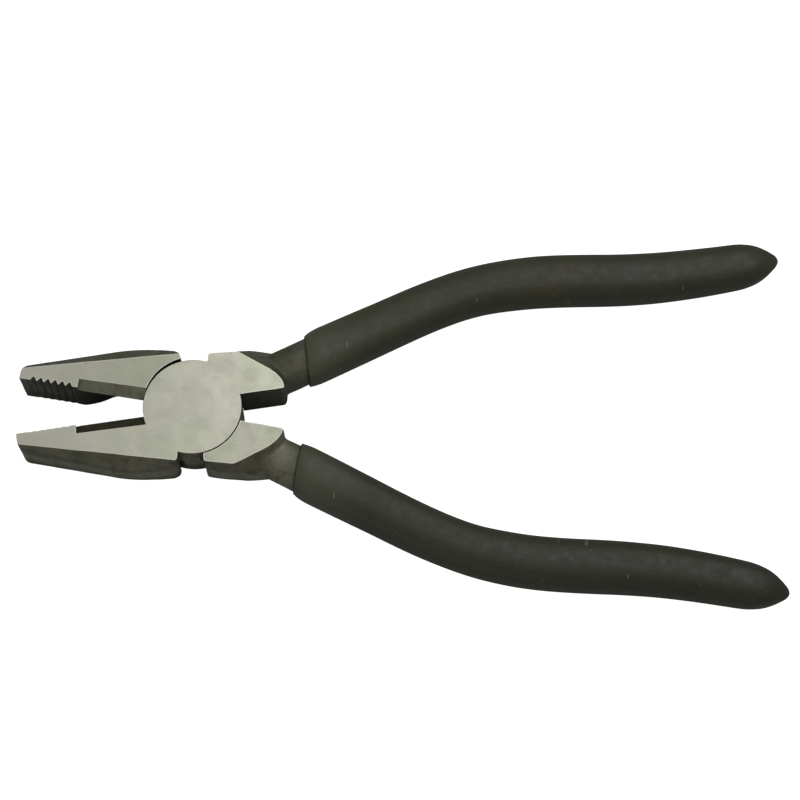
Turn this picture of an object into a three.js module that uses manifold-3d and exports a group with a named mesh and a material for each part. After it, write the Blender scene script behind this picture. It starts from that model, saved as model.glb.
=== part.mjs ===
// Lineman pliers, nominal 8 inch class, as five separate solids: two forged halves crossing at a
// lap joint, the rivet that they turn on, and a vinyl sleeve on each handle.
//
// Millimetres, +Z up. The pliers lie flat on their ground face, z = 0. The origin is on the pivot
// axis in that face, the jaws point along -X and the handles along +X. The two halves are posed
// with the jaws open by twice HALF_OPENING.
//
// Each half is drawn in its own closed frame: pivot at the origin, z = 0 at mid thickness, jaw in
// the -X -Y quadrant, handle in the +X +Y quadrant and its lap on the +Z side. The lower half is the
// same shape turned over about X, but its cutter is milled from its other face and its sleeve has
// its own reach.
import * as THREE from 'three';
import { mergeVertices } from 'three/addons/utils/BufferGeometryUtils.js';
import Module from 'manifold-3d';

const wasm = await Module();
wasm.setup();

// ---- driving dimensions -------------------------------------------------------------------
const THICKNESS = 14.6; // over the two ground faces
const HALF_OPENING = THREE.MathUtils.degToRad(9.35);
const LAP_RADIUS = 13.1;
const SOCKET_CLEARANCE = 0.35; // round the other half's lap
const LAP_GAP = 0.3; // between the two laps
const JAW_GAP = 0.3; // between the two gripping faces in the closed frame
const JAW_LEAN = THREE.MathUtils.degToRad(0.7); // of the closed jaws from the handles' middle line

const NOSE_X = -46.9;
const TOOTH_COUNT = 6;
const TOOTH_PITCH = 1.94;
const TOOTH_DEPTH = 1; // at the face z = -H
const TOOTH_FADE = 0.85; // how much of that depth is lost towards the face z = H
const FIRST_TOOTH_X = -43.1;

const CUTTER_START_X = -31.1;
const CUTTER_BEVEL_WIDTH = 2.6; // of the recess on the ground face
const CUTTER_BEVEL_TAPER = THREE.MathUtils.degToRad(1.5);
const CUTTER_DEPTH = 1.85; // of the cutting edge below the ground face
const RELIEF_WIDTH = 4.4; // behind the cutters, on the far face

const RIVET_RADIUS = 4;
const RIVET_HEAD_RADIUS = 5.6;
const RIVET_HEAD_DEPTH = 2.4;
const RIVET_CLEARANCE = 0.1;

const NECK_WIDTH = 11.6;
const GRIP_WALL = 0.9;
const GRIP_CLEARANCE = 0.25; // between tang and sleeve
const GRIP_START = 14.9; // along the handle line, to the mouth of a middling sleeve
const GRIP_LENGTH = 135; // along that line, mouth to tip
const UPPER_GRIP_REACH = [15.5, 150.5]; // mouth and tip of each sleeve along that line
const LOWER_GRIP_REACH = [13.6, 149.3];
const MOUTH_LEAN = 0.36; // tangent of the angle at which the mouth is cut
const MOUTH_REACH = 14; // how far along the sleeve that slant dies out
const TANG_TIP_COVER = 9; // from the end of the tang to the tip of the sleeve
const TANG_END_CLEARANCE = 1; // between the end of the tang and the bottom of the sleeve
const SECTION_POWER = 2.7; // 2 is an ellipse, higher is squarer
const SECTION_ASPECT = 0.9; // thickness over width

const H = THICKNESS / 2;
const FAR = 60; // reach of a cutting tool past the piece
const ROUND_SEGMENTS = 96;
const SECTION_SEGMENTS = 24;

// ---- helpers ------------------------------------------------------------------------------
function toSolid(geometry) {
  const bare = geometry.clone();
  bare.deleteAttribute('normal');
  bare.deleteAttribute('uv');
  const merged = mergeVertices(bare, 1e-5);
  return new wasm.Manifold(new wasm.Mesh({
    numProp: 3,
    vertProperties: new Float32Array(merged.attributes.position.array),
    triVerts: new Uint32Array(merged.index.array),
  }));
}

function toGeometry(solid) {
  const mesh = solid.getMesh();
  const geometry = new THREE.BufferGeometry();
  geometry.setAttribute('position', new THREE.BufferAttribute(mesh.vertProperties, 3));
  geometry.setIndex(new THREE.BufferAttribute(mesh.triVerts, 1));
  geometry.computeVertexNormals();
  return geometry;
}

// A plan outline standing from one height to another.
function plate(shape, bottom, top, curveSegments = 8) {
  const geometry = new THREE.ExtrudeGeometry(shape, {
    depth: top - bottom,
    bevelEnabled: false,
    curveSegments,
  });
  return geometry.translate(0, 0, bottom);
}

function disc(radius, bottom, top) {
  const geometry = new THREE.CylinderGeometry(radius, radius, top - bottom, ROUND_SEGMENTS);
  return geometry.rotateX(Math.PI / 2).translate(0, 0, (top + bottom) / 2);
}

// Cuts one edge of a plate back to a ridge at mid thickness. The line from p to q is the edge of
// both ground faces, with the material on its left, and the facets fall away at the slope.
function ridgeTool(p, q, slope) {
  const fall = Math.tan(THREE.MathUtils.degToRad(slope));
  const shape = new THREE.Shape([
    new THREE.Vector2(-1, FAR),
    new THREE.Vector2(-1, H + fall),
    new THREE.Vector2(H / fall, 0),
    new THREE.Vector2(-1, -H - fall),
    new THREE.Vector2(-1, -FAR),
    new THREE.Vector2(FAR, -FAR),
    new THREE.Vector2(FAR, FAR),
  ]);
  const along = new THREE.Vector3(p[0] - q[0], p[1] - q[1], 0).normalize();
  const up = new THREE.Vector3(0, 0, 1);
  const outward = new THREE.Vector3().crossVectors(up, along);
  const geometry = new THREE.ExtrudeGeometry(shape, { depth: 2 * FAR, bevelEnabled: false });
  geometry.translate(0, 0, -FAR);
  geometry.applyMatrix4(new THREE.Matrix4().makeBasis(outward, up, along));
  return geometry.translate(q[0], q[1], 0);
}

// The same tool for the face at z = -H. Two corners of each triangle change places, because a
// mirrored triangle faces the other way.
function flipped(geometry) {
  const mirrored = geometry.index ? geometry.toNonIndexed() : geometry.clone();
  const position = mirrored.attributes.position;
  for (let i = 0; i < position.count; i += 3) {
    const a = new THREE.Vector3().fromBufferAttribute(position, i);
    const b = new THREE.Vector3().fromBufferAttribute(position, i + 1);
    const c = new THREE.Vector3().fromBufferAttribute(position, i + 2);
    position.setXYZ(i, b.x, b.y, -b.z);
    position.setXYZ(i + 1, a.x, a.y, -a.z);
    position.setXYZ(i + 2, c.x, c.y, -c.z);
  }
  return mirrored;
}

// ---- handle line, and solids swept along it -----------------------------------------------
const HANDLE_LINE = new THREE.SplineCurve([
  [16.5, 6.7], [24, 8.05], [32.5, 10.8], [50, 16.2], [66, 21.05], [79, 23.8],
  [92.6, 24.4], [106, 23.3], [120, 21.4], [138, 20.3], [164.5, 20.8],
].map(([x, y]) => new THREE.Vector2(x, y)));
HANDLE_LINE.arcLengthDivisions = 400;
const HANDLE_LENGTH = HANDLE_LINE.getLength();
const GRIP_END = GRIP_START + GRIP_LENGTH;
const TANG_END = GRIP_END - TANG_TIP_COVER;

// Turns a profile of half widths and distances into a body of rounded oval section, bent along the
// handle line.
function sweptSolid(profile) {
  const geometry = new THREE.LatheGeometry(profile, SECTION_SEGMENTS);
  const position = geometry.attributes.position;
  for (let i = 0; i < position.count; i += 1) {
    const side = position.getX(i);
    const rise = position.getZ(i);
    const width = Math.hypot(side, rise);
    const c = width > 0 ? side / width : 0;
    const s = width > 0 ? rise / width : 0;
    const fullness = width > 0
      ? (Math.abs(c) ** SECTION_POWER + Math.abs(s) ** SECTION_POWER) ** (-1 / SECTION_POWER)
      : 0;
    const offset = -side * fullness;
    const along = position.getY(i);
    const slant = MOUTH_LEAN * Math.max(0, 1 - Math.abs(along - GRIP_START) / MOUTH_REACH);
    const u = THREE.MathUtils.clamp((along + offset * slant) / HANDLE_LENGTH, 0, 1);
    const point = HANDLE_LINE.getPointAt(u);
    const tangent = HANDLE_LINE.getTangentAt(u);
    position.setXYZ(
      i,
      point.x - tangent.y * offset,
      point.y + tangent.x * offset,
      rise * fullness * SECTION_ASPECT,
    );
  }
  return geometry;
}

// Half width of the sleeve against distance from its open end.
const SLEEVE_SIDE = new THREE.SplineCurve([
  [6.95, 0], [6.9, 12], [6.6, 30], [6.6, 48], [6.9, 64],
  [6.95, 86], [6.6, 108], [6.1, GRIP_LENGTH - 11],
].map(([w, s]) => new THREE.Vector2(w, s + GRIP_START)));
const SLEEVE_TIP = new THREE.SplineCurve([
  [6.1, 11], [5.3, 7], [3.9, 4], [2.2, 1.6], [1.1, 0.4], [0, 0],
].map(([w, s]) => new THREE.Vector2(w, GRIP_END - s)));

function inset(points, amount) {
  return points.map((point) => new THREE.Vector2(point.x - amount, point.y));
}

// A flat-ended core inside the sleeve: the sleeve's side, drawn in, with a blunt end.
function coreProfile(amount, start, end) {
  const side = inset(SLEEVE_SIDE.getPoints(20), amount)
    .filter((point) => point.y < end - 4 && point.y > start);
  const last = side[side.length - 1].x;
  return [...side, new THREE.Vector2(last * 0.85, end - 1.5), new THREE.Vector2(last * 0.5, end)];
}

// The sleeve between its own mouth and tip.
function sleeve([start, end]) {
  const stretch = (end - start) / GRIP_LENGTH;
  const outer = [...SLEEVE_SIDE.getPoints(20), ...SLEEVE_TIP.getPoints(9).slice(1)];
  const cavityEnd = TANG_END + TANG_END_CLEARANCE;
  const inner = coreProfile(GRIP_WALL, GRIP_START + 1, cavityEnd);
  const mouth = outer[0].x;
  const profile = [
    new THREE.Vector2(0, cavityEnd),
    ...inner.reverse(),
    new THREE.Vector2(mouth - GRIP_WALL, GRIP_START),
    new THREE.Vector2(mouth - 0.3, GRIP_START),
    new THREE.Vector2(mouth, GRIP_START + 0.4),
    ...outer.slice(1, -1),
    new THREE.Vector2(0, GRIP_END),
  ];
  return sweptSolid(profile.map(
    (point) => new THREE.Vector2(point.x, start + (point.y - GRIP_START) * stretch),
  ));
}

// Neck and tang: narrow where it leaves the shoulder, filling the sleeve from the mouth on.
function tang() {
  const amount = GRIP_WALL + GRIP_CLEARANCE;
  return sweptSolid([
    new THREE.Vector2(0, 0),
    new THREE.Vector2(NECK_WIDTH / 2 - 0.4, 0),
    new THREE.Vector2(NECK_WIDTH / 2, 6),
    new THREE.Vector2(NECK_WIDTH / 2, GRIP_START - 2),
    ...coreProfile(amount, GRIP_START, TANG_END),
    new THREE.Vector2(0, TANG_END),
  ]);
}

// ---- forging ------------------------------------------------------------------------------
function jawOutline() {
  const inner = -JAW_GAP / 2;
  const outline = new THREE.Shape();
  outline.moveTo(NOSE_X, inner);
  outline.lineTo(NOSE_X, -2.3);
  outline.quadraticCurveTo(NOSE_X, -3.9, NOSE_X + 1.6, -4.6);
  outline.lineTo(-22.5, -13.2);
  outline.quadraticCurveTo(-17.4, -15.1, -8.4, -15.1);
  outline.quadraticCurveTo(-6.5, -15, -5.9, -13.5);
  outline.lineTo(-5.5, -11.8);
  outline.lineTo(-3, -6);
  outline.lineTo(-3, 0);
  outline.lineTo(CUTTER_START_X + 1.2, 0);
  outline.lineTo(CUTTER_START_X, inner);
  outline.closePath();
  return outline;
}

function shoulderOutline() {
  const outline = new THREE.Shape();
  outline.moveTo(3, 1.62);
  outline.lineTo(24.6, 1.62);
  outline.quadraticCurveTo(25.3, 1.8, 25.5, 3.2);
  outline.lineTo(26.5, 14.4);
  outline.lineTo(15.6, 14.5);
  outline.quadraticCurveTo(10.7, 15.7, 7.8, 15.1);
  outline.quadraticCurveTo(6.2, 14.9, 5.8, 13.6);
  outline.lineTo(5.4, 11.8);
  outline.lineTo(3, 6);
  outline.closePath();
  return outline;
}

const JAW_EDGE = [[-46, -3.3], [-7.4, -13.8]];

// The edge of the shoulder's ground faces bends round the end of the neck, as short steps.
const SHOULDER_BEND = new THREE.QuadraticBezierCurve(
  new THREE.Vector2(24.8, 2.6),
  new THREE.Vector2(24.2, 5.6),
  new THREE.Vector2(20.6, 8.4),
);
const BEND_STEPS = 6;
const BEND_SLOPES = [65, 47]; // of the side below it, at its two ends

function shoulderEdges() {
  const edges = [
    { from: [24.8, 1], to: [24.8, 3], slope: BEND_SLOPES[0] },
    { from: [14, 13.6], to: [6.5, 14.2], slope: 70 },
  ];
  for (let i = 0; i <= BEND_STEPS; i += 1) {
    const t = i / BEND_STEPS;
    const from = SHOULDER_BEND.getPoint(t);
    const to = SHOULDER_BEND.getTangent(t).add(from);
    const slope = THREE.MathUtils.lerp(...BEND_SLOPES, t);
    edges.push({ from: [from.x, from.y], to: [to.x, to.y], slope });
  }
  return edges;
}

// One groove across the gripping face. It runs out towards the face z = H.
function toothTool(x) {
  const half = TOOTH_PITCH / 2 - 0.08;
  const shape = new THREE.Shape();
  shape.moveTo(-half, 0.5);
  shape.lineTo(-half, -JAW_GAP / 2);
  shape.lineTo(-0.25, -TOOTH_DEPTH - 0.02);
  shape.quadraticCurveTo(0, -TOOTH_DEPTH - JAW_GAP, 0.25, -TOOTH_DEPTH - 0.02);
  shape.lineTo(half, -JAW_GAP / 2);
  shape.lineTo(half, 0.5);
  shape.closePath();
  const geometry = plate(shape, -H - 1, H + 1, 3);
  const position = geometry.attributes.position;
  for (let i = 0; i < position.count; i += 1) {
    const depth = 1 - TOOTH_FADE * (position.getZ(i) + H) / THICKNESS;
    position.setY(i, (position.getY(i) + JAW_GAP / 2) * depth - JAW_GAP / 2);
  }
  return geometry.translate(x, 0, 0);
}

// The bevel that leaves the cutting edge, milled from the ground face at z = H.
function cutterBevelTool() {
  const rise = CUTTER_DEPTH / CUTTER_BEVEL_WIDTH;
  const shape = new THREE.Shape([
    new THREE.Vector2(-CUTTER_BEVEL_WIDTH - 1, H + rise),
    new THREE.Vector2(1, H - (CUTTER_BEVEL_WIDTH + 1) * rise),
    new THREE.Vector2(1, H + rise),
  ]);
  const basis = new THREE.Matrix4().makeBasis(
    new THREE.Vector3(0, 1, 0),
    new THREE.Vector3(0, 0, 1),
    new THREE.Vector3(1, 0, 0),
  );
  const geometry = new THREE.ExtrudeGeometry(shape, { depth: 24, bevelEnabled: false });
  geometry.applyMatrix4(basis);
  geometry.rotateZ(-CUTTER_BEVEL_TAPER);
  return geometry.translate(CUTTER_START_X, 0, 0);
}

// The hollow behind the cutting edge. It leans from the edge down to the far face.
function reliefTool() {
  const top = H - CUTTER_DEPTH;
  const drop = top + H;
  const shape = new THREE.Shape();
  shape.moveTo(CUTTER_START_X, 1);
  shape.lineTo(CUTTER_START_X, 0);
  shape.quadraticCurveTo(-27.2, -1, -24.6, -2.9);
  shape.quadraticCurveTo(-22.6, -RELIEF_WIDTH, -20, -RELIEF_WIDTH);
  shape.lineTo(0, -RELIEF_WIDTH);
  shape.lineTo(0, 1);
  shape.closePath();
  const geometry = plate(shape, 0, drop + 2, 5);
  const lean = new THREE.Matrix4().set(
    1, 0, -0.8, 0,
    0, 1, RELIEF_WIDTH / drop, 0,
    0, 0, 1, 0,
    0, 0, 0, 1,
  );
  geometry.applyMatrix4(lean);
  return geometry.translate(0, 0, -H);
}

function rivetProfile(clearance, reach) {
  const cone = (RIVET_HEAD_RADIUS - RIVET_RADIUS) / RIVET_HEAD_DEPTH;
  const head = RIVET_HEAD_RADIUS + clearance + cone * reach;
  const shank = RIVET_RADIUS + clearance;
  return [
    new THREE.Vector2(0, -H - reach),
    new THREE.Vector2(head, -H - reach),
    new THREE.Vector2(shank, -H + RIVET_HEAD_DEPTH),
    new THREE.Vector2(shank, H - RIVET_HEAD_DEPTH),
    new THREE.Vector2(head, H + reach),
    new THREE.Vector2(0, H + reach),
  ];
}

function rivet(clearance = 0, reach = 0) {
  const geometry = new THREE.LatheGeometry(rivetProfile(clearance, reach), 64);
  return geometry.rotateX(Math.PI / 2);
}

// One half. The cutter's bevel is milled from z = H when cutterSide is 1, and from z = -H when it
// is -1, so that the two cutting edges meet when the lower half is turned over.
function forging(cutterSide) {
  const place = (geometry) => (cutterSide > 0 ? geometry : flipped(geometry));
  const lean = (geometry) => geometry.rotateZ(cutterSide * JAW_LEAN);
  const lap = toSolid(disc(LAP_RADIUS, -FAR, FAR));

  let jaw = toSolid(lean(plate(jawOutline(), -H, H, 10)));
  jaw = jaw.subtract(toSolid(lean(ridgeTool(...JAW_EDGE, 45))));
  for (let i = 0; i < TOOTH_COUNT; i += 1) {
    jaw = jaw.subtract(toSolid(lean(toothTool(FIRST_TOOTH_X + i * TOOTH_PITCH))));
  }
  jaw = jaw.subtract(toSolid(lean(place(cutterBevelTool()))).subtract(lap));
  jaw = jaw.subtract(toSolid(lean(place(reliefTool()))).subtract(lap));

  let shoulder = toSolid(plate(shoulderOutline(), -H, H));
  for (const { from, to, slope } of shoulderEdges()) {
    shoulder = shoulder.subtract(toSolid(ridgeTool(from, to, slope)));
  }

  let body = jaw.add(shoulder).add(toSolid(tang())).add(toSolid(disc(LAP_RADIUS, 0, H)));
  body = body.subtract(toSolid(disc(LAP_RADIUS + SOCKET_CLEARANCE, -FAR, LAP_GAP / 2)));
  body = body.subtract(toSolid(rivet(RIVET_CLEARANCE, 1)));
  return toGeometry(body);
}

// ---- assembly -----------------------------------------------------------------------------
function mesh(name, geometry, color, roughness, metalness) {
  const material = new THREE.MeshStandardMaterial({ color, roughness, metalness });
  const object = new THREE.Mesh(geometry, material);
  object.name = name;
  return object;
}

const STEEL = [0x8f8f87, 0.4, 0.9];
const VINYL = [0x34352e, 0.6, 0];

const upperHalf = new THREE.Group();
upperHalf.rotation.z = HALF_OPENING;
upperHalf.add(mesh('upper_lap_forging', forging(1), ...STEEL));
upperHalf.add(mesh('upper_half_grip', sleeve(UPPER_GRIP_REACH), ...VINYL));

const lowerHalf = new THREE.Group();
lowerHalf.rotation.set(Math.PI, 0, -HALF_OPENING, 'ZYX');
lowerHalf.add(mesh('lower_lap_forging', forging(-1), ...STEEL));
lowerHalf.add(mesh('lower_half_grip', sleeve(LOWER_GRIP_REACH), ...VINYL));

const pliers = new THREE.Group();
pliers.position.z = H;
pliers.add(upperHalf, lowerHalf, mesh('pivot_rivet', rivet(), ...STEEL));

export default pliers;
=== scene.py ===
"""Looks of the lineman pliers: two forged halves, the rivet that joins them and a dipped vinyl sleeve
on each handle, on a pale floor under soft studio light.

Lengths are written in millimetres and turned into metres by MM. The frame is the CAD frame: the
pivot axis is x = y = 0, the jaws point along -X, and the pliers lie on z = 0.
"""

import math

import bmesh
import bpy
from mathutils import Matrix, Quaternion, Vector, noise
from mathutils.bvhtree import BVHTree
from mathutils.kdtree import KDTree


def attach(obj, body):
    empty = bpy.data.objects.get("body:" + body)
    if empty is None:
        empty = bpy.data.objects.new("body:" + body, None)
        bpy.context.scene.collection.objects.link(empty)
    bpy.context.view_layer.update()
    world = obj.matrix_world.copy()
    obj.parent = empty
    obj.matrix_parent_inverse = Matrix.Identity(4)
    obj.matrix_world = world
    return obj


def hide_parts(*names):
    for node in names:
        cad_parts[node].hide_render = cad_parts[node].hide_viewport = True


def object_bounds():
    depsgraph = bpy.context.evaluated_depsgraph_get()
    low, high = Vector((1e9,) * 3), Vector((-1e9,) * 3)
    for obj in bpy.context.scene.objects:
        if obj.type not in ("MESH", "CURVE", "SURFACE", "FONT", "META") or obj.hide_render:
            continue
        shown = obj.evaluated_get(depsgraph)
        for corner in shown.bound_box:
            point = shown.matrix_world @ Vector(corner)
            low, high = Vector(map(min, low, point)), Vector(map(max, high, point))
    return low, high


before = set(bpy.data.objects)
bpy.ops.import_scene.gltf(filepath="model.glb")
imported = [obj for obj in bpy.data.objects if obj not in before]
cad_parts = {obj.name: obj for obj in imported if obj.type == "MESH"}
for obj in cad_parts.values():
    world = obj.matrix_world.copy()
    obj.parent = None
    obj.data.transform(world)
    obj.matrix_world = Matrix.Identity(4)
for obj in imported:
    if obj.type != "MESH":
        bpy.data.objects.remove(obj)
cad_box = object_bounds()

MM = 0.001

# Camera, as a place on a sphere round its target.
CAMERA_LENS = 95.7
CAMERA_SENSOR = 36.0
CAMERA_DISTANCE = 572.5 * MM
CAMERA_ELEVATION = math.radians(71.45)
CAMERA_AZIMUTH = math.radians(-1.69)
CAMERA_ROLL = math.radians(2.45)
CAMERA_NEAR = 0.01
TARGET_FROM_CENTRE = Vector((-1.15, 4.95, 0.0)) * MM

# Stage and lights, in metres and watts.
FLOOR_SIZE = 3.0
FLOOR_LIFT = 1.0  # light that only the camera sees, for a plain white ground
WORLD_LIGHT = 0.3
LIGHT_AIM = (0.05, 0.0, 0.0)
LIGHTS = (  # name, place, size and power
    ("overhead", (0.4, 0.38, 1.0), (0.8, 0.85), 5.2),
    ("fill", (-0.35, -0.8, 0.3), (0.7, 0.4), 0.5),
)

# The two halves. Each is worked in millimetres in its own closed frame, as the CAD is: pivot at the
# origin, z = 0 at mid thickness, jaw in the -X -Y quadrant, handle in the +X +Y quadrant, lap on +Z.
THICKNESS = cad_box[1].z / MM
H = THICKNESS / 2
HALF_OPENING = math.radians(9.35)
LAP_RADIUS = 13.1
SOCKET_CLEARANCE = 0.15
SOCKET_RUN = 0.7  # how far the socket reaches on, on the jaw side
LAP_GAP = 0.3
JAW_GAP = 0.3
JAW_LEAN = math.radians(0.7)
NOSE_X = -46.9
TOOTH_COUNT = 6
TOOTH_PITCH = 1.94
TOOTH_DEPTH = 1.0  # at the face z = -H
TOOTH_FADE = 0.85  # how much of that depth is lost towards the face z = H
TOOTH_SIDE_DEPTH = 1.02  # where a groove's side ends and its round bottom starts
TOOTH_BRIM = 0.01  # reach of a groove's tool past the gripping face
TOOTH_LAND = 0.08  # left flat on each side of a groove
TOOTH_ROOT = 0.25  # half width of the bottom of a groove
FIRST_TOOTH_X = -43.1
CUTTER_START_X = -31.1
CUTTER_BEVEL_WIDTH = 2.6
CUTTER_BEVEL_TAPER = math.radians(1.5)
CUTTER_BEVEL_LENGTH = 24.0
CUTTER_END_STEP = 1.2  # run of the rise from the gripping face to the cutting edge
CUTTER_DEPTH = 1.85
RELIEF_WIDTH = 4.4
RELIEF_RAKE = 0.8  # lean of the hollow along X, per unit of height
RIVET_RADIUS = 4.0
RIVET_HEAD_RADIUS = 5.6
RIVET_HEAD_DEPTH = 2.4
RIVET_FIT = 0.01  # gap between the rivet and its bore
RIVET_SEGMENTS = 96
BEND_STEPS = 6
BEND_SLOPES = (65, 47)  # slopes of the facets, in degrees from the ground faces
JAW_SLOPE = 45
BACK_SLOPE = 70
FAR = 60.0  # reach of a cutting tool past the piece
PAST = 1.0  # reach of a cutting tool past a face that it only just has to clear
ROUND_SEGMENTS = 192

# Surfaces of the forgings and the sleeves.
WELD_DISTANCE = 0.001 * MM
STOCK = 1.5  # left on the forged shape wherever a machine takes it off again
FORGED_DETAIL = 0.25
FORGED_SMOOTHING = 12
FILLET_SMOOTHING = 22
JAW_SEED = 3
SHOULDER_SEED = 7
FORGED_UNEVENNESS = 0.05
UNEVENNESS_SIZE = 5.0
EDGE_CHAMFER = 0.12  # broken edge of the ground lap
NECK_START = 17.0
INNER_END = 24.0  # past this place the inner side is neck
NECK_END = 42.0
FILLET_RUN = 3.0
FILLET_HALF_HEIGHT = 6.4
FILLET_FADE = 1.2
TANG_START = 40.0  # from here on the tang is hidden in the sleeve
SHARP_ANGLE = math.radians(26)
PLANE_TOLERANCE = 0.01
LEVEL = 0.9999  # cosine of a normal's angle from Z, on a ground face
ON_BEVEL = 0.9995  # the same, from the bevel's own normal
INWARD = 0.8  # share of a normal along Y, on an inner side
LIP_FACING = -0.7  # share of a normal along X, on the lip of a mouth
JOIN_ANGLE = math.radians(60)
GROUND = 1  # places among the materials of a forging
BEVEL = 2
INNER = 3
SLEEVE_UNEVENNESS = 0.07
SLEEVE_UNEVENNESS_SIZE = 11.0
UPPER_SEED = 2.0
LOWER_SEED = 9.0
SLEEVE_GROWTH = 0.1  # gives back what the smoothing of the sleeve takes
BONDED = 0.45  # a wall this close to the tang is stuck to it
BOND_GAP = 0.02
MOUTH_LIMIT = 50.0  # along X, past both mouths
MOUTH_THINNING = 0.6
MOUTH_TAPER = 4.5

# Where the shades of the materials change, in millimetres: runs along X, except for two.
JAW_TINT_RUN = (-46, -14)
PARTING_END_RUN = (17, 21)
# runs of the painted light on the necks: a painted sheen on the lower half, painted shade on the upper
NECK_LIGHTING_RUN = (18.5, 22.5)
NECK_LIGHTING_END_RUN = (24, 28.5)
MOUTH_SHADE_RUN = (31, 46)
SLEEVE_TINT_RUN = (45, 150)
PARTING_RUN = (1.5, 3.5)  # up or down from mid thickness
LAP_RIM_RUN = (LAP_RADIUS + 0.05, LAP_RADIUS + 0.4)  # out from the pivot
GROUND_RIM = 0.55  # width of the bright rims on ground faces: partly wear, partly a painted highlight of the broken edge
FORGED_RIM = 0.45  # and of those on the forged skin


# ---- node trees -----------------------------------------------------------------------------
class Graph:
    """The node tree of one material, built by short calls."""

    def __init__(self, name):
        self.material = bpy.data.materials.new(name)
        self.material.use_nodes = True
        self.tree = self.material.node_tree
        self.tree.nodes.clear()
        self.output = self.node("ShaderNodeOutputMaterial")
        self.coordinates = self.node("ShaderNodeTexCoord").outputs["Object"]

    def node(self, kind, inputs=None, **settings):
        made = self.tree.nodes.new(kind)
        for key, value in settings.items():
            setattr(made, key, value)
        for key, value in (inputs or {}).items():
            self.feed(made.inputs[key], value)
        return made

    def feed(self, socket, value):
        if isinstance(value, bpy.types.NodeSocket):
            self.tree.links.new(value, socket)
        else:
            socket.default_value = value

    def axis(self, letter):
        """Object coordinates along one axis, in metres."""
        return self.node("ShaderNodeSeparateXYZ", {"Vector": self.coordinates}).outputs[letter]

    def stretched(self, scale, turn=0.0):
        """Object coordinates turned about Z and scaled per axis, in repeats per metre."""
        mapping = self.node(
            "ShaderNodeMapping",
            {"Vector": self.coordinates, "Rotation": (0, 0, turn), "Scale": scale},
        )
        return mapping.outputs["Vector"]

    def noise(self, scale, detail=3.0, roughness=0.5, vector=None):
        made = self.node(
            "ShaderNodeTexNoise",
            {
                "Vector": vector or self.coordinates,
                "Scale": scale,
                "Detail": detail,
                "Roughness": roughness,
            },
        )
        return made.outputs["Fac"]

    def ramp(self, value, low, high, to_low=0.0, to_high=1.0):
        """Value mapped from low..high to to_low..to_high, and held there outside."""
        made = self.node(
            "ShaderNodeMapRange",
            {
                "Value": value,
                "From Min": low,
                "From Max": high,
                "To Min": to_low,
                "To Max": to_high,
            },
        )
        return made.outputs["Result"]

    def math(self, operation, a, b):
        made = self.node("ShaderNodeMath", {0: a, 1: b}, operation=operation)
        return made.outputs[0]

    def mix(self, factor, a, b):
        made = self.node("ShaderNodeMix", data_type="RGBA")
        for key, value in zip(("Factor_Float", "A_Color", "B_Color"), (factor, a, b)):
            socket = next(s for s in made.inputs if s.identifier == key)
            self.feed(socket, value)
        return next(s for s in made.outputs if s.identifier == "Result_Color")

    def bump(self, height, distance):
        inputs = {"Height": height, "Distance": distance, "Strength": 1.0}
        return self.node("ShaderNodeBump", inputs).outputs["Normal"]

    def finish(self, **inputs):
        """The material, with a surface made from inputs named as Blender names them."""
        named = {key.replace("_", " ").title(): value for key, value in inputs.items()}
        if "Specular Ior Level" in named:
            named["Specular IOR Level"] = named.pop("Specular Ior Level")
        self.shader = self.node("ShaderNodeBsdfPrincipled", named)
        self.feed(self.output.inputs["Surface"], self.shader.outputs["BSDF"])
        return self.material


def colour(red, green, blue):
    """A display colour of 0..255 parts as the linear colour that a shader takes."""
    linear = [
        part / 12.92 if part <= 0.04045 else ((part + 0.055) / 1.055) ** 2.4
        for part in (red / 255, green / 255, blue / 255)
    ]
    return (*linear, 1.0)


# ---- materials ------------------------------------------------------------------------------
def edge_mask(g, radius):
    """1 on a sharp edge, out to the given radius in metres, and 0 away from it."""
    rounded = g.node("ShaderNodeBevel", {"Radius": radius}, samples=4).outputs["Normal"]
    plain = g.node("ShaderNodeNewGeometry").outputs["Normal"]
    same = g.node("ShaderNodeVectorMath", {0: rounded, 1: plain}, operation="DOT_PRODUCT")
    return g.ramp(same.outputs["Value"], 0.995, 0.93)


def off_lap(g):
    """0 on the lap, whose edge gets no bright rim of wear and painted highlight, and 1 outside it."""
    flat = g.node("ShaderNodeVectorMath", {0: g.coordinates, 1: (1, 1, 0)}, operation="MULTIPLY")
    radius = g.node("ShaderNodeVectorMath", {0: flat.outputs["Vector"]}, operation="LENGTH")
    low, high = LAP_RIM_RUN
    return g.ramp(radius.outputs["Value"], low * MM, high * MM)


def along_x(g, run):
    """0 before the first of two places along X, in millimetres, and 1 after the second."""
    low, high = run
    return g.ramp(g.axis("X"), low * MM, high * MM)


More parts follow.
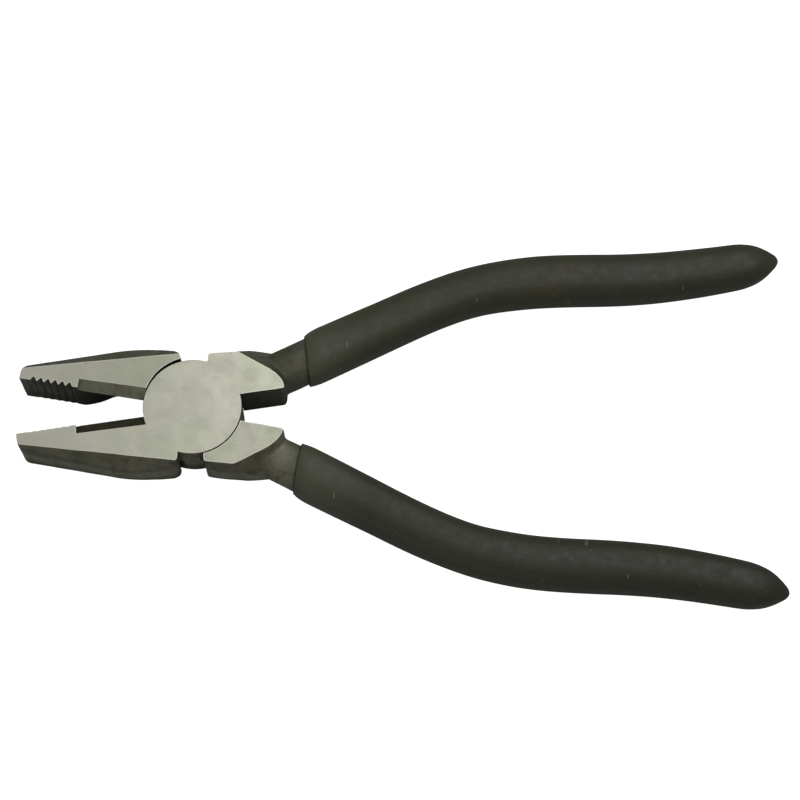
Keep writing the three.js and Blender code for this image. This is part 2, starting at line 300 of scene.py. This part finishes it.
def ground_steel(name, nose_tint, lap_tint):
    """Satin steel off the surface grinder: fine marks along X, a drift of hue and a few pits. The two
    tints are the shares of a darker green grey at the nose and from the lap on."""
    g = Graph(name)
    drift = g.noise(60, detail=2)
    base = g.mix(g.ramp(drift, 0.38, 0.62), colour(191, 193, 174), colour(201, 197, 187))
    blotches = g.noise(230, detail=3)
    base = g.mix(g.ramp(blotches, 0.4, 0.7, 0.0, 0.25), base, colour(168, 168, 150))
    base = g.mix(g.ramp(along_x(g, JAW_TINT_RUN), 0, 1, nose_tint, lap_tint), base, colour(120, 126, 100))
    lines = g.noise(1, detail=4, vector=g.stretched((420, 3600, 420)))
    base = g.mix(g.ramp(lines, 0.35, 0.7, 0.0, 0.06), base, colour(120, 120, 108))
    speckle = g.noise(2100, detail=1)
    base = g.mix(g.ramp(speckle, 0.62, 0.74, 0.0, 0.12), base, colour(226, 224, 214))
    pits = g.noise(800, detail=1)
    base = g.mix(g.ramp(pits, 0.22, 0.17, 0.0, 0.75), base, colour(70, 68, 58))
    # a near-white rim along the sharp edges, off the lap: partly wear, partly a painted highlight where
    # the broken edge catches light
    rim_wear_and_glint = g.math("MULTIPLY", off_lap(g), g.ramp(blotches, 0.35, 0.65, 0.1, 0.8))
    rim = g.math("MULTIPLY", edge_mask(g, GROUND_RIM * MM), rim_wear_and_glint)
    base = g.mix(rim, base, colour(242, 242, 236))
    height = g.math("ADD", g.math("MULTIPLY", lines, 0.5), g.ramp(pits, 0.17, 0.22))
    uneven = g.ramp(blotches, 0.3, 0.7, -0.04, 0.05)
    return g.finish(
        base_color=base,
        metallic=1.0,
        roughness=g.math("ADD", g.ramp(lines, 0.25, 0.75, 0.35, 0.41), uneven),
        normal=g.bump(height, 0.002 * MM),
    )


def parting_band(g):
    """1 at mid thickness, where the flash of the forging was trimmed off, and 0 on the rest and along
    the neck."""
    low, high = PARTING_RUN
    height = g.math("ABSOLUTE", g.math("SUBTRACT", g.axis("Z"), H * MM), 0.0)
    band = g.ramp(height, low * MM, high * MM, 1, 0)
    return g.math("MULTIPLY", band, g.ramp(along_x(g, PARTING_END_RUN), 0, 1, 1, 0))


def oxide(name, deep, pale, neck, wear, trimmed=0.0):
    """Blackened forging skin: cloudy, with a rusty cast in places, a band of painted light on the neck in
    the given neck colour (a painted sheen where it is lighter, painted shade where darker) and wear to
    grey along its edges."""
    g = Graph(name)
    clouds = g.noise(130, detail=4)
    base = g.mix(g.ramp(clouds, 0.35, 0.65), colour(*deep), colour(*pale))
    # painted light on the neck: the neck colour rises over one run and mostly fades over the next
    neck_lighting_fade = g.ramp(along_x(g, NECK_LIGHTING_END_RUN), 0, 1, 1, 0.15)
    neck_lighting_share = g.math("MULTIPLY", along_x(g, NECK_LIGHTING_RUN), neck_lighting_fade)
    base = g.mix(neck_lighting_share, base, colour(*neck))
    base = g.mix(g.math("MULTIPLY", parting_band(g), trimmed), base, colour(124, 124, 110))
    rust = g.noise(260, detail=3)
    base = g.mix(g.ramp(rust, 0.5, 0.72, 0.0, 0.45), base, colour(70, 60, 36))
    stains = g.noise(420, detail=2)
    base = g.mix(g.ramp(stains, 0.5, 0.7, 0.0, 0.4), base, colour(28, 28, 18))
    grain = g.noise(1900, detail=3, roughness=0.6)
    base = g.mix(g.ramp(grain, 0.6, 0.74, 0.0, 0.35), base, colour(128, 128, 112))
    edge = g.math("MULTIPLY", edge_mask(g, FORGED_RIM * MM), g.ramp(clouds, 0.35, 0.6, 0.15, wear))
    base = g.mix(edge, base, colour(150, 150, 134))
    height = g.math("ADD", grain, g.math("MULTIPLY", g.noise(520, detail=2), 2.0))
    return g.finish(
        base_color=base,
        metallic=0.25,
        roughness=g.ramp(clouds, 0.3, 0.7, 0.4, 0.55),
        specular_ior_level=0.3,
        normal=g.bump(height, 0.02 * MM),
    )


def black_oxide(name, neck):
    # neck is the colour of the painted light on the neck
    return oxide(name, (78, 78, 62), (95, 95, 81), neck, wear=0.7, trimmed=0.7)


def cut_oxide():
    return oxide("cut_oxide", (114, 115, 96), (129, 130, 111), (114, 115, 96), wear=0.5)


def inner_oxide_and_shade():
    # a darker copy of the oxide for the inner sides and the upper cutter bevel: partly the walls' own
    # darker tone, partly painted shade
    return oxide("inner_oxide_and_shade", (45, 45, 35), (58, 58, 46), (45, 45, 35), wear=0.5)


def vinyl(name, near_tint, far_tint):
    """Dipped vinyl: matt, mottled and faintly scuffed. The two tints are the shares of a darker shade
    near the mouth and at the end of the handle."""
    g = Graph(name)
    clouds = g.noise(75, detail=4)
    base = g.mix(g.ramp(clouds, 0.35, 0.65), colour(47, 50, 33), colour(57, 56, 36))
    drift = g.noise(28, detail=2)
    base = g.mix(g.ramp(drift, 0.42, 0.66, 0.0, 0.4), base, colour(48, 56, 44))
    mottle = g.noise(420, detail=3)
    base = g.mix(g.ramp(mottle, 0.45, 0.75, 0.0, 0.35), base, colour(66, 66, 54))
    base = g.mix(g.ramp(along_x(g, SLEEVE_TINT_RUN), 0, 1, near_tint, far_tint), base, colour(33, 34, 20))
    base = g.mix(g.ramp(along_x(g, MOUTH_SHADE_RUN), 0, 1, 0.85, 0), base, colour(76, 77, 60))
    grain = g.noise(1500, detail=2)
    base = g.mix(g.ramp(grain, 0.66, 0.74, 0.0, 0.3), base, colour(104, 104, 92))
    scuffs = g.noise(1, detail=3, vector=g.stretched((240, 1500, 600), turn=0.5))
    base = g.mix(g.ramp(scuffs, 0.66, 0.76, 0.0, 0.3), base, colour(96, 95, 82))
    nicks = g.noise(1, detail=1, vector=g.stretched((850, 190, 300), turn=0.15))
    base = g.mix(g.ramp(nicks, 0.75, 0.79, 0.0, 0.5), base, colour(118, 117, 102))
    height = g.math("ADD", grain, g.math("MULTIPLY", mottle, 1.6))
    return g.finish(
        base_color=base,
        roughness=g.ramp(mottle, 0.3, 0.7, 0.44, 0.6),
        specular_ior_level=0.4,
        normal=g.bump(height, 0.03 * MM),
    )


# ---- solids, in millimetres, in the frame of one closed half -----------------------------------
def solid(vertices, faces):
    mesh = bpy.data.meshes.new("solid")
    mesh.from_pydata(vertices, [], faces)
    return mesh


def plate(outline, bottom, top):
    """A plan outline, drawn anticlockwise, standing from one height to another."""
    count = len(outline)
    vertices = [(x, y, z) for z in (bottom, top) for x, y in outline]
    faces = [tuple(reversed(range(count))), tuple(range(count, 2 * count))]
    for i in range(count):
        j = (i + 1) % count
        faces.append((i, j, count + j, count + i))
    return solid(vertices, faces)


def turned(profile, segments=ROUND_SEGMENTS):
    """A profile of radius and height pairs, from axis to axis and upward, turned about Z."""
    rings = profile[1:-1]
    vertices = [(0, 0, profile[0][1]), (0, 0, profile[-1][1])]
    for radius, height in rings:
        for k in range(segments):
            angle = 2 * math.pi * k / segments
            vertices.append((radius * math.cos(angle), radius * math.sin(angle), height))
    faces = []
    last = 2 + (len(rings) - 1) * segments
    for k in range(segments):
        n = (k + 1) % segments
        faces.append((0, 2 + n, 2 + k))
        faces.append((1, last + k, last + n))
        for ring in range(len(rings) - 1):
            low = 2 + ring * segments
            high = low + segments
            faces.append((low + k, low + n, high + n, high + k))
    return solid(vertices, faces)


def half_space(point, outward):
    """A big block whose one face passes through the point and looks against the given direction."""
    out = Vector(outward).normalized()
    turn = out.to_track_quat("Z", "Y").to_matrix()
    ring = ((-FAR, -FAR), (FAR, -FAR), (FAR, FAR), (-FAR, FAR))
    corners = [(x, y, z) for z in (0, 2 * FAR) for x, y in ring]
    vertices = [Vector(point) + turn @ Vector(corner) for corner in corners]
    faces = [(3, 2, 1, 0), (4, 5, 6, 7), (0, 1, 5, 4), (1, 2, 6, 5), (2, 3, 7, 6), (3, 0, 4, 7)]
    return solid(vertices, faces)


def curve(start, bend, end, steps=8):
    """Points of a quadratic curve after its start, up to its end."""
    points = []
    for i in range(1, steps + 1):
        t = i / steps
        points.append(tuple(
            (1 - t) ** 2 * a + 2 * t * (1 - t) * b + t * t * c
            for a, b, c in zip(start, bend, end)
        ))
    return points


def holder(mesh):
    made = bpy.data.objects.new("holder", mesh)
    bpy.context.scene.collection.objects.link(made)
    return made


def applied(made, *others):
    """The mesh that an object's modifiers make. The object and its helpers are removed."""
    bpy.context.view_layer.update()
    graph = bpy.context.evaluated_depsgraph_get()
    mesh = bpy.data.meshes.new_from_object(made.evaluated_get(graph))
    for used in (made, *others):
        data = used.data
        bpy.data.objects.remove(used)
        bpy.data.meshes.remove(data)
    return mesh


def combined(base, tool, operation="DIFFERENCE"):
    """Base cut by, joined with or limited to the tool. Both meshes are used up."""
    body = holder(base)
    cutter = holder(tool)
    boolean = body.modifiers.new("boolean", "BOOLEAN")
    boolean.solver = "MANIFOLD"
    boolean.operation = operation
    boolean.object = cutter
    return applied(body, cutter)


def smoothing(piece, iterations, group=""):
    smooth = piece.modifiers.new("smooth", "SMOOTH")
    smooth.factor = 0.5
    smooth.iterations = iterations
    smooth.vertex_group = group


def softened(mesh, seed, melted=None):
    """A blocked-out shape as it leaves the hammer: rounded everywhere, with a slightly uneven skin.
    Melted gives the share of extra smoothing at each point."""
    body = holder(mesh)
    remesh = body.modifiers.new("remesh", "REMESH")
    remesh.mode = "VOXEL"
    remesh.voxel_size = FORGED_DETAIL
    smoothing(body, FORGED_SMOOTHING)
    soft = applied(body)
    if melted:
        body = holder(soft)
        group = body.vertex_groups.new(name="melted")
        for vertex in soft.vertices:
            group.add([vertex.index], melted(vertex.co), "REPLACE")
        smoothing(body, FILLET_SMOOTHING, "melted")
        soft = applied(body)
    shift = Vector((seed, 0, 0))
    moved = [
        vertex.co
        + vertex.normal * FORGED_UNEVENNESS * noise.noise((vertex.co + shift) / UNEVENNESS_SIZE)
        for vertex in soft.vertices
    ]
    for vertex, place in zip(soft.vertices, moved):
        vertex.co = place
    return soft


# ---- one half -----------------------------------------------------------------------------------
def facets(mesh, point, direction, slope):
    """Cuts an edge back to a ridge at mid thickness. The line is the edge of both ground faces, with the
    material on its left, and the facets fall away at the slope."""
    out = Vector((direction[1], -direction[0], 0)).normalized()
    angle = math.radians(slope)
    for face in (1, -1):
        normal = out * math.sin(angle) + Vector((0, 0, face * math.cos(angle)))
        mesh = combined(mesh, half_space((*point, face * H), normal))
    return mesh


def jaw_blank():
    inner = STOCK
    outline = [(NOSE_X, -2.3)]
    outline += curve((NOSE_X, -2.3), (NOSE_X, -3.9), (NOSE_X + 1.6, -4.6))
    outline += [(-22.5, -13.2)]
    outline += curve((-22.5, -13.2), (-17.4, -15.1), (-8.4, -15.1))
    outline += curve((-8.4, -15.1), (-6.5, -15), (-5.9, -13.5))
    outline += [(-5.5, -11.8), (-3, -6), (-3, inner), (NOSE_X, inner)]
    blank = plate(outline, -H - STOCK, H + STOCK)
    return facets(blank, (-46, -3.3), (38.6, -10.5), JAW_SLOPE)


def shoulder_blank():
    outline = [(3, 1.62), (24.6, 1.62)]
    outline += curve((24.6, 1.62), (25.3, 1.8), (25.5, 3.2))
    outline += [(26.5, 14.4), (15.6, 14.5)]
    outline += curve((15.6, 14.5), (10.7, 15.7), (7.8, 15.1))
    outline += curve((7.8, 15.1), (6.2, 14.9), (5.8, 13.6))
    outline += [(5.4, 11.8), (3, 6)]
    blank = plate(outline, -H - STOCK, H + STOCK)
    blank = facets(blank, (24.8, 1), (0, 1), BEND_SLOPES[0])
    blank = facets(blank, (14, 13.6), (-7.5, 0.6), BACK_SLOPE)
    start, bend, end = Vector((24.8, 2.6)), Vector((24.2, 5.6)), Vector((20.6, 8.4))
    for i in range(BEND_STEPS + 1):
        t = i / BEND_STEPS
        point = (1 - t) ** 2 * start + 2 * t * (1 - t) * bend + t * t * end
        tangent = 2 * (1 - t) * (bend - start) + 2 * t * (end - bend)
        blank = facets(blank, point, tangent, BEND_SLOPES[0] * (1 - t) + BEND_SLOPES[1] * t)
    return blank


def shifted(mesh, matrix):
    mesh.transform(matrix)
    return mesh


def jaw(side):
    """The jaw, forged and then machined. Its side is 1 for the upper half and -1 for the lower, whose
    cutter is milled from the other face."""
    body = softened(jaw_blank(), JAW_SEED * side)
    body = combined(body, face_tool())
    body = ground(body)
    body = combined(body, teeth_tool())
    for tool in (cutter_bevel_tool(), relief_tool()):
        if side < 0:
            tool.transform(Matrix.Scale(-1, 4, (0, 0, 1)))
            tool.flip_normals()
        body = combined(body, combined(tool, round_bar(LAP_RADIUS)))
    return shifted(body, Matrix.Rotation(side * JAW_LEAN, 4, "Z"))


def round_bar(radius, bottom=-FAR, top=FAR):
    return turned([(0, bottom), (radius, bottom), (radius, top), (0, top)])


def ground(body):
    """Takes the stock off both faces."""
    for face in (1, -1):
        body = combined(body, half_space((0, 0, face * H), (0, 0, face)))
    return body


def face_tool():
    """Mills the gripping face, and leaves the metal of the cutting edge standing."""
    face = -JAW_GAP / 2
    outline = [(-FAR, face), (CUTTER_START_X, face), (CUTTER_START_X + CUTTER_END_STEP, 0)]
    outline += [(FAR, 0), (FAR, FAR), (-FAR, FAR)]
    return plate(outline, -FAR, FAR)


def teeth_tool():
    """The grooves across the gripping face. They run out towards the face z = H."""
    half = TOOTH_PITCH / 2 - TOOTH_LAND
    face = -JAW_GAP / 2
    brim = face + TOOTH_BRIM
    root = -TOOTH_SIDE_DEPTH
    outline = []
    for i in range(TOOTH_COUNT):
        x = FIRST_TOOTH_X + i * TOOTH_PITCH
        start = (x - TOOTH_ROOT, root)
        outline += [(x - half, brim), start]
        outline += curve(start, (x, -TOOTH_DEPTH - JAW_GAP), (x + TOOTH_ROOT, root), 5)
        outline += [(x + half, brim)]
    outline += [(outline[-1][0], STOCK), (outline[0][0], STOCK)]
    tool = plate(outline, -H - PAST, H + PAST)
    for vertex in tool.vertices:
        depth = 1 - TOOTH_FADE * (vertex.co.z + H) / THICKNESS
        vertex.co.y = face + (vertex.co.y - face) * depth
    return tool


def cutter_bevel_tool():
    """The bevel that leaves the cutting edge, milled from the ground face at z = H."""
    rise = CUTTER_DEPTH / CUTTER_BEVEL_WIDTH
    section = [
        (-CUTTER_BEVEL_WIDTH - PAST, H + PAST * rise),
        (PAST, H - (CUTTER_BEVEL_WIDTH + PAST) * rise),
        (PAST, H + PAST * rise),
    ]
    tool = plate(section, 0, CUTTER_BEVEL_LENGTH)
    across = Matrix(((0, 0, 1, 0), (1, 0, 0, 0), (0, 1, 0, 0), (0, 0, 0, 1)))  # X, Y, Z to Y, Z, X
    turn = Matrix.Rotation(-CUTTER_BEVEL_TAPER, 4, "Z")
    return shifted(tool, Matrix.Translation((CUTTER_START_X, 0, 0)) @ turn @ across)


def relief_tool():
    """The hollow behind the cutting edge. It leans from the edge down to the far face."""
    drop = THICKNESS - CUTTER_DEPTH
    outline = [(CUTTER_START_X, PAST), (CUTTER_START_X, 0)]
    outline += curve((CUTTER_START_X, 0), (-27.2, -1), (-24.6, -2.9), 5)
    outline += curve((-24.6, -2.9), (-22.6, -RELIEF_WIDTH), (-20, -RELIEF_WIDTH), 5)
    outline += [(0, -RELIEF_WIDTH), (0, PAST)]
    tool = plate(outline, 0, drop + 2 * PAST)
    slope = RELIEF_WIDTH / drop
    lean = Matrix(((1, 0, -RELIEF_RAKE, 0), (0, 1, slope, 0), (0, 0, 1, -H), (0, 0, 0, 1)))
    return shifted(tool, lean)


def to_half(side):
    """From a half's closed frame in millimetres to the CAD frame in metres."""
    place = Matrix.Translation((0, 0, H)) @ Matrix.Rotation(side * HALF_OPENING, 4, "Z")
    if side < 0:
        place = place @ Matrix.Rotation(math.pi, 4, "X")
    return Matrix.Scale(MM, 4) @ place


def cad_copy(node, matrix=None):
    """A CAD node's mesh with its doubles merged."""
    copy = bmesh.new()
    copy.from_mesh(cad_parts[node].data)
    bmesh.ops.remove_doubles(copy, verts=copy.verts, dist=WELD_DISTANCE)
    mesh = bpy.data.meshes.new(node)
    copy.to_mesh(mesh)
    copy.free()
    if matrix is not None:
        mesh.transform(matrix)
    return mesh


def neck_fillet(place):
    """How much a point is smoothed again: fully at mid thickness, from the start of the neck on."""
    along = min(1.0, max(0.0, (place.x - NECK_START) / FILLET_RUN))
    return along * min(1.0, max(0.0, (FILLET_HALF_HEIGHT - abs(place.z)) / FILLET_FADE))


def shoulder(node, side):
    cad = cad_copy(node, to_half(side).inverted())
    slab = [(NECK_START, -FAR), (NECK_END, -FAR), (NECK_END, FAR), (NECK_START, FAR)]
    neck = combined(cad.copy(), plate(slab, -FAR, FAR), "INTERSECT")
    tang = combined(cad, half_space((TANG_START, 0, 0), (-1, 0, 0)))
    blank = combined(shoulder_blank(), neck, "UNION")
    body = softened(blank, SHOULDER_SEED * side, neck_fillet)
    return combined(ground(body), tang, "UNION")


def rivet_profile(fit=0.0, reach=0.0):
    cone = (RIVET_HEAD_RADIUS - RIVET_RADIUS) / RIVET_HEAD_DEPTH
    head = RIVET_HEAD_RADIUS + fit + cone * reach
    shank = RIVET_RADIUS + fit
    return [
        (0, -H - reach),
        (head, -H - reach),
        (shank, RIVET_HEAD_DEPTH - H),
        (shank, H - RIVET_HEAD_DEPTH),
        (head, H + reach),
        (0, H + reach),
    ]


def lap():
    rim = LAP_RADIUS - EDGE_CHAMFER
    return turned([(0, 0), (LAP_RADIUS, 0), (LAP_RADIUS, H - EDGE_CHAMFER), (rim, H), (0, H)])


def socket():
    radius = LAP_RADIUS + SOCKET_CLEARANCE
    low = -H - PAST
    flare = radius + EDGE_CHAMFER + PAST
    top = LAP_GAP / 2
    return turned([(0, low), (flare, low), (radius, EDGE_CHAMFER - H), (radius, top), (0, top)])


def dressed(mesh, *materials):
    mesh.materials.clear()
    for material in materials:
        mesh.materials.append(material)
    for polygon in mesh.polygons:
        polygon.use_smooth = True
    mesh.set_sharp_from_angle(angle=SHARP_ANGLE)


def wide_socket():
    """The socket's mill run a little outward, on the jaw side only."""
    side = [(-FAR, -FAR), (0, -FAR), (0, 0), (-FAR, 0)]
    bar = round_bar(LAP_RADIUS + SOCKET_CLEARANCE, -FAR, LAP_GAP / 2)
    cut = combined(bar, plate(side, -FAR, FAR), "INTERSECT")
    return shifted(cut, Matrix.Translation((0, -SOCKET_RUN, 0)))


def sort_faces(mesh, side):
    """Ground faces get the bare steel, the bevel of the cutter and the inner sides their own oxides,
    the darker of them partly painted shade, and the rest keeps the blackened steel."""
    bevel = Vector((0, CUTTER_DEPTH, side * CUTTER_BEVEL_WIDTH)).normalized()
    bevel.rotate(Matrix.Rotation(side * JAW_LEAN - CUTTER_BEVEL_TAPER, 3, "Z"))
    for polygon in mesh.polygons:
        x, _, z = polygon.center
        if abs(polygon.normal.z) > LEVEL and abs(abs(z) - H) < PLANE_TOLERANCE:
            polygon.material_index = GROUND
            polygon.use_smooth = False
        elif x < -LAP_RADIUS / 2 and polygon.normal.dot(bevel) > ON_BEVEL:
            polygon.material_index = BEVEL
            polygon.use_smooth = False
        elif x < INNER_END and polygon.normal.y * x < -INWARD * abs(x):
            polygon.material_index = INNER


def forging(node, name, body, side, materials):
    mesh = combined(shoulder(node, side), jaw(side), "UNION")
    mesh = combined(mesh, lap(), "UNION")
    mesh = combined(mesh, socket())
    mesh = combined(mesh, wide_socket())
    mesh = combined(mesh, turned(rivet_profile(RIVET_FIT, PAST), RIVET_SEGMENTS))
    dressed(mesh, *materials)
    sort_faces(mesh, side)
    mesh.transform(to_half(side))
    return new_piece(name, mesh, body, node)


def rivet(node, name, body, material):
    mesh = turned(rivet_profile(), RIVET_SEGMENTS)
    dressed(mesh, material)
    mesh.transform(Matrix.Scale(MM, 4) @ Matrix.Translation((0, 0, H)))
    return new_piece(name, mesh, body, node)


def mouth_of(mesh):
    """The lip of a sleeve's open end, as a tree of its points."""
    lip = [
        vertex.co for vertex in mesh.vertices
        if vertex.normal.x < LIP_FACING and vertex.co.x < MOUTH_LIMIT * MM
    ]
    tree = KDTree(len(lip))
    for index, place in enumerate(lip):
        tree.insert(place, index)
    tree.balance()
    return tree


def sleeve(node, tang, name, body, seed, material):
    """The CAD sleeve as one smooth skin with the slight waviness of a dipped coating."""
    cage = bmesh.new()
    cage.from_mesh(cad_copy(node))
    bmesh.ops.join_triangles(
        cage, faces=cage.faces, angle_face_threshold=JOIN_ANGLE, angle_shape_threshold=JOIN_ANGLE,
    )
    mesh = bpy.data.meshes.new(name)
    cage.to_mesh(mesh)
    cage.free()
    skin = holder(mesh)
    skin.modifiers.new("rounding", "SUBSURF").levels = 2
    mesh = applied(skin)
    mouth = mouth_of(mesh)
    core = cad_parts[tang].data
    tang_skin = BVHTree.FromPolygons(
        [vertex.co for vertex in core.vertices], [tuple(face.vertices) for face in core.polygons],
    )
    shift = Vector((seed, 0, 0))
    moved = []
    for vertex in mesh.vertices:
        touch, normal, _, depth = tang_skin.find_nearest(vertex.co)
        if depth < BONDED * MM:
            moved.append(touch + normal * BOND_GAP * MM)
            continue
        wave = noise.noise(vertex.co / (SLEEVE_UNEVENNESS_SIZE * MM) + shift)
        lift = SLEEVE_GROWTH + SLEEVE_UNEVENNESS * wave
        from_mouth = mouth.find(vertex.co)[2] / MM
        thinning = MOUTH_THINNING * max(0.0, 1 - from_mouth / MOUTH_TAPER) ** 2
        moved.append(vertex.co + vertex.normal * (lift - thinning) * MM)
    for vertex, place in zip(mesh.vertices, moved):
        vertex.co = place
    dressed(mesh, material)
    return new_piece(name, mesh, body, node)


def new_piece(name, mesh, body, replaced):
    mesh.name = name
    piece = bpy.data.objects.new(name, mesh)
    bpy.context.scene.collection.objects.link(piece)
    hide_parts(replaced)
    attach(piece, body)
    return piece


# ---- stage ----------------------------------------------------------------------------------
def floor():
    mesh = bpy.data.meshes.new("floor")
    plane = bmesh.new()
    bmesh.ops.create_grid(plane, x_segments=2, y_segments=2, size=FLOOR_SIZE)
    plane.to_mesh(mesh)
    plane.free()
    made = bpy.data.objects.new("floor", mesh)
    bpy.context.scene.collection.objects.link(made)
    g = Graph("pale_floor")
    soft = g.noise(2, detail=1)
    base = g.mix(g.ramp(soft, 0.3, 0.7), colour(186, 186, 184), colour(190, 190, 188))
    material = g.finish(base_color=base, roughness=0.8, specular_ior_level=0.1)
    seen = g.node("ShaderNodeLightPath").outputs["Is Camera Ray"]
    strength = g.math("MULTIPLY", seen, FLOOR_LIFT)
    lift = g.node("ShaderNodeEmission", {"Color": (1, 1, 1, 1), "Strength": strength})
    both = g.node(
        "ShaderNodeAddShader", {0: g.shader.outputs["BSDF"], 1: lift.outputs["Emission"]},
    )
    g.feed(g.output.inputs["Surface"], both.outputs["Shader"])
    mesh.materials.append(material)


def area_light(name, place, size, power):
    data = bpy.data.lights.new(name, "AREA")
    data.shape = "RECTANGLE"
    data.size, data.size_y = size
    data.energy = power
    lamp = bpy.data.objects.new(name, data)
    lamp.location = place
    lamp.rotation_euler = (Vector(LIGHT_AIM) - Vector(place)).to_track_quat("-Z", "Y").to_euler()
    bpy.context.scene.collection.objects.link(lamp)


def studio():
    world = bpy.data.worlds.new("studio")
    world.use_nodes = True
    background = world.node_tree.nodes["Background"].inputs
    background["Color"].default_value = (1, 1, 1, 1)
    background["Strength"].default_value = WORLD_LIGHT
    bpy.context.scene.world = world
    bpy.context.scene.view_settings.view_transform = "Standard"
    for name, place, size, power in LIGHTS:
        area_light(name, place, size, power)


def camera():
    data = bpy.data.cameras.new("camera")
    data.lens = CAMERA_LENS
    data.sensor_width = CAMERA_SENSOR
    data.clip_start = CAMERA_NEAR
    made = bpy.data.objects.new("camera", data)
    bpy.context.scene.collection.objects.link(made)
    target = (cad_box[0] + cad_box[1]) / 2 + TARGET_FROM_CENTRE
    level = math.cos(CAMERA_ELEVATION)
    back = Vector((
        level * math.sin(CAMERA_AZIMUTH),
        -level * math.cos(CAMERA_AZIMUTH),
        math.sin(CAMERA_ELEVATION),
    ))
    made.location = target + back * CAMERA_DISTANCE
    level_view = (-back).to_track_quat("-Z", "Y")
    made.rotation_euler = (level_view @ Quaternion((0, 0, 1), CAMERA_ROLL)).to_euler()
    bpy.context.scene.camera = made


# ---- the scene ------------------------------------------------------------------------------
# inner: the darker oxide, partly painted shade
inner = inner_oxide_and_shade()
upper_steel = (
    # upper neck painted darker than the skin: painted shade
    black_oxide("upper_black_oxide", neck=(72, 73, 58)),
    ground_steel("upper_ground_steel", nose_tint=0.06, lap_tint=0.18),
    # the upper half's cutter bevel takes the darker oxide: painted shade
    inner,
    inner,
)
lower_steel = (
    # lower neck painted lighter than the skin: a painted sheen
    black_oxide("lower_black_oxide", neck=(112, 111, 96)),
    ground_steel("lower_ground_steel", nose_tint=0.09, lap_tint=0.42),
    cut_oxide(),
    inner,
)
forging("upper_lap_forging", "upper_forging", "upper_half", 1, upper_steel)
forging("lower_lap_forging", "lower_forging", "lower_half", -1, lower_steel)
rivet_steel = ground_steel("rivet_steel", nose_tint=0.06, lap_tint=0.18)
rivet("pivot_rivet", "rivet", "lower_half", rivet_steel)
upper_vinyl = vinyl("upper_vinyl", near_tint=0.0, far_tint=0.5)
lower_vinyl = vinyl("lower_vinyl", near_tint=0.25, far_tint=0.8)
sleeve("upper_half_grip", "upper_lap_forging", "upper_sleeve", "upper_half", UPPER_SEED, upper_vinyl)
sleeve("lower_half_grip", "lower_lap_forging", "lower_sleeve", "lower_half", LOWER_SEED, lower_vinyl)
floor()
studio()
camera()

bpy.context.view_layer.update()
